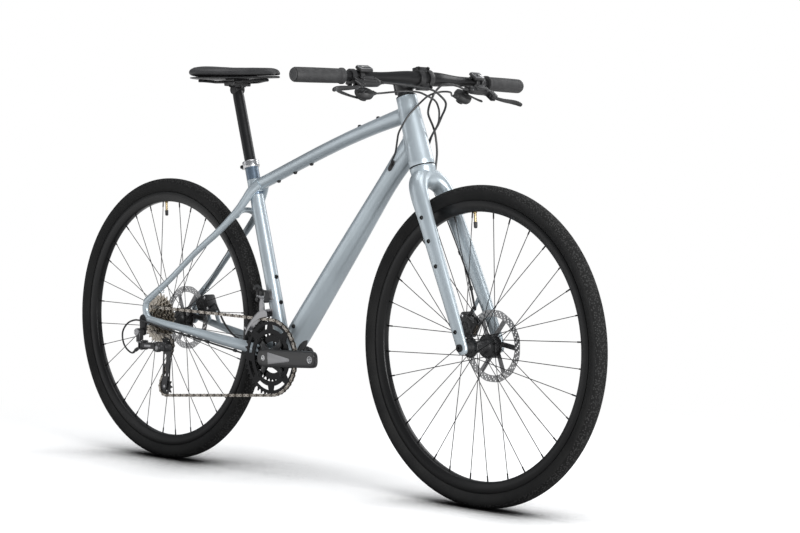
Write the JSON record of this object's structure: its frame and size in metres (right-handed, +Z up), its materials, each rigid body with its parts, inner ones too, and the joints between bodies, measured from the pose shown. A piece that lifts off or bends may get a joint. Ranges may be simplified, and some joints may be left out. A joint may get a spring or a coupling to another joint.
{
  "type": "hybrid bicycle",
  "caption": "Hybrid bicycle with a flat handlebar, hydraulic disc brakes, a derailleur drivetrain, a rigid fork and a sloping aluminium frame; no pedals fitted.",
  "frame": {"origin": "on the ground, straight below the rear axle, in the bicycle's middle plane", "axes": "+X forward, +Y to the rider's left, +Z up"},
  "size_m": [1.771, 0.7118, 0.975],
  "materials": {
    "tyre": "matte",
    "rubber": "matte",
    "paint": "metallic satin",
    "black_metal": "satin",
    "alloy": "polished",
    "steel": "brushed",
    "plastic": "satin",
    "cover": "matte",
    "hose": "satin"
  },
  "bodies": {
    "frame": {"frame": "paint", "derailleur_hanger": "black_metal", "seat_clamp": "alloy", "bottom_bracket": "black_metal", "rear_axle": "black_metal", "rear_caliper": "black_metal", "front_derailleur_body": "black_metal", "chain": "steel", "rear_brake_hose": "hose", "rear_shift_housing": "hose", "front_shift_housing": "hose", "derailleur_b_knuckle": "black_metal"},
    "steering": {"fork": "paint", "headset_lower_bearing": "black_metal", "headset_cover": "black_metal", "stem": "black_metal", "stem_faceplate": "black_metal", "stem_cap": "black_metal", "handlebar": "black_metal", "grip_right": "rubber", "grip_left": "rubber", "brake_lever_body_right": "black_metal", "brake_lever_body_left": "black_metal", "shifter_body_right": "plastic", "shifter_body_left": "plastic", "front_axle": "black_metal", "front_caliper": "black_metal", "front_brake_hose": "hose"},
    "seatpost": {"seatpost": "black_metal"},
    "saddle_clamp": {"saddle_clamp": "black_metal"},
    "saddle": {"saddle_rails": "black_metal", "saddle_shell": "plastic", "saddle_cover": "cover"},
    "front_wheel": {"front_tyre": "tyre", "front_rim": "black_metal", "front_hub": "black_metal", "front_rotor": "steel"},
    "rear_wheel": {"rear_tyre": "tyre", "rear_rim": "black_metal", "rear_hub": "black_metal", "rear_rotor": "steel"},
    "crankset": {"crank_arm_right": "black_metal", "chainring_large": "black_metal", "chainring_small": "black_metal", "spindle": "steel", "crank_arm_left": "black_metal"},
    "cassette": {"cassette": "steel"},
    "front_derailleur_cage": {"front_derailleur_cage": "alloy"},
    "derailleur_link_outer": {"derailleur_link_outer": "black_metal"},
    "derailleur_link_inner": {"derailleur_link_inner": "black_metal"},
    "derailleur_p_knuckle": {"derailleur_p_knuckle": "black_metal"},
    "derailleur_cage": {"derailleur_cage": "black_metal"},
    "guide_pulley": {"guide_pulley": "plastic"},
    "tension_pulley": {"tension_pulley": "plastic"},
    "brake_lever_right": {"brake_lever_right": "black_metal"},
    "shift_lever_right": {"shift_lever_right": "plastic"},
    "release_lever_right": {"release_lever_right": "plastic"},
    "brake_lever_left": {"brake_lever_left": "black_metal"},
    "shift_lever_left": {"shift_lever_left": "plastic"},
    "release_lever_left": {"release_lever_left": "plastic"}
  },
  "joints": [
    {"name": "steering_turn", "type": "hinge", "parent": "frame", "child": "steering", "pos_m": [0.88365, 0, 0.73908], "axis": [-0.3256, 0, 0.9455], "range_deg": [-60, 60], "deforming": ["rear_brake_hose", "rear_shift_housing", "front_shift_housing"]},
    {"name": "front_wheel_spin", "type": "hinge", "parent": "steering", "child": "front_wheel", "pos_m": [1.0704, 0, 0.3503], "axis": [0, 1, 0], "continuous": true},
    {"name": "rear_wheel_spin", "type": "hinge", "parent": "frame", "child": "rear_wheel", "pos_m": [0, 0, 0.3503], "axis": [0, 1, 0], "continuous": true},
    {"name": "crank_spin", "type": "hinge", "parent": "frame", "child": "crankset", "pos_m": [0.43812, 0, 0.2847], "axis": [0, 1, 0], "continuous": true, "deforming": ["chain"]},
    {"name": "cassette_spin", "type": "hinge", "parent": "frame", "child": "cassette", "pos_m": [0, 0, 0.3503], "axis": [0, 1, 0], "continuous": true},
    {"name": "brake_lever_squeeze_right", "type": "hinge", "parent": "steering", "child": "brake_lever_right", "pos_m": [0.90416, -0.21123, 0.90822], "axis": [-0.4044, 0.0539, -0.913], "range_deg": [0, 22], "stiffness_Nm_per_rad": 0.6, "springref_deg": -8.59},
    {"name": "shift_lever_push_right", "type": "hinge", "parent": "steering", "child": "shift_lever_right", "pos_m": [0.85533, -0.15812, 0.88293], "axis": [0.4044, -0.0539, 0.913], "range_deg": [0, 26], "stiffness_Nm_per_rad": 0.2, "springref_deg": -8.59},
    {"name": "release_lever_pull_right", "type": "hinge", "parent": "steering", "child": "release_lever_right", "pos_m": [0.86479, -0.15938, 0.9043], "axis": [-0.4044, 0.0539, -0.913], "range_deg": [0, 16], "stiffness_Nm_per_rad": 0.15, "springref_deg": -8.59},
    {"name": "brake_lever_squeeze_left", "type": "hinge", "parent": "steering", "child": "brake_lever_left", "pos_m": [0.89767, 0.21042, 0.89879], "axis": [0.6121, 0.0749, 0.7872], "range_deg": [0, 22], "stiffness_Nm_per_rad": 0.6, "springref_deg": -8.59},
    {"name": "shift_lever_push_left", "type": "hinge", "parent": "steering", "child": "shift_lever_left", "pos_m": [0.84421, 0.15697, 0.88739], "axis": [-0.6121, -0.0749, -0.7872], "range_deg": [0, 26], "stiffness_Nm_per_rad": 0.2, "springref_deg": -8.59},
    {"name": "release_lever_pull_left", "type": "hinge", "parent": "steering", "child": "release_lever_left", "pos_m": [0.85854, 0.15873, 0.90581], "axis": [0.6121, 0.0749, 0.7872], "range_deg": [0, 16], "stiffness_Nm_per_rad": 0.15, "springref_deg": -8.59},
    {"name": "front_derailleur_swing", "type": "hinge", "parent": "frame", "child": "front_derailleur_cage", "pos_m": [0.39251, -0.0385, 0.42452], "axis": [1, 0, 0], "range_deg": [-2, 9], "deforming": ["chain"]},
    {"name": "derailleur_outer_link_swing", "type": "hinge", "parent": "frame", "child": "derailleur_link_outer", "pos_m": [0.014, -0.099, 0.288], "axis": [0, 0, 1], "range_deg": [-11, 28], "deforming": ["chain"]},
    {"name": "derailleur_inner_link_swing", "type": "hinge", "parent": "frame", "child": "derailleur_link_inner", "pos_m": [0.014, -0.0855, 0.288], "axis": [0, 0, 1], "range_deg": [-11, 28]},
    {"name": "derailleur_p_knuckle_swing", "type": "hinge", "parent": "derailleur_link_outer", "child": "derailleur_p_knuckle", "pos_m": [0.066, -0.099, 0.288], "axis": [0, 0, 1], "range_deg": [-28, 11]},
    {"name": "derailleur_cage_swing", "type": "hinge", "parent": "derailleur_p_knuckle", "child": "derailleur_cage", "pos_m": [0.078, -0.0569, 0.285], "axis": [0, 1, 0], "range_deg": [-30, 20], "stiffness_Nm_per_rad": 0.8, "deforming": ["chain"]},
    {"name": "guide_pulley_spin", "type": "hinge", "parent": "derailleur_cage", "child": "guide_pulley", "pos_m": [0.062, -0.0569, 0.29], "axis": [0, 1, 0], "continuous": true},
    {"name": "tension_pulley_spin", "type": "hinge", "parent": "derailleur_cage", "child": "tension_pulley", "pos_m": [0.058, -0.0569, 0.187], "axis": [0, 1, 0], "continuous": true},
    {"name": "seatpost_height", "type": "slide", "parent": "frame", "child": "seatpost", "axis": [-0.284, 0, 0.9588], "range_m": [-0.1, 0.08]},
    {"name": "saddle_tilt", "type": "hinge", "parent": "seatpost", "child": "saddle_clamp", "pos_m": [0.25067, 0, 0.91752], "axis": [0, 1, 0], "range_deg": [-8, 8]},
    {"name": "saddle_fore_aft", "type": "slide", "parent": "saddle_clamp", "child": "saddle", "axis": [1, 0, 0], "range_m": [-0.018, 0.018]}
  ],
  "couplings": [
    {"joint": "cassette_spin", "follows": "crank_spin", "ratio": 2.9333},
    {"joint": "guide_pulley_spin", "follows": "crank_spin", "ratio": -4},
    {"joint": "tension_pulley_spin", "follows": "crank_spin", "ratio": 4},
    {"joint": "derailleur_inner_link_swing", "follows": "derailleur_outer_link_swing", "ratio": 1},
    {"joint": "derailleur_p_knuckle_swing", "follows": "derailleur_outer_link_swing", "ratio": -1}
  ]
}
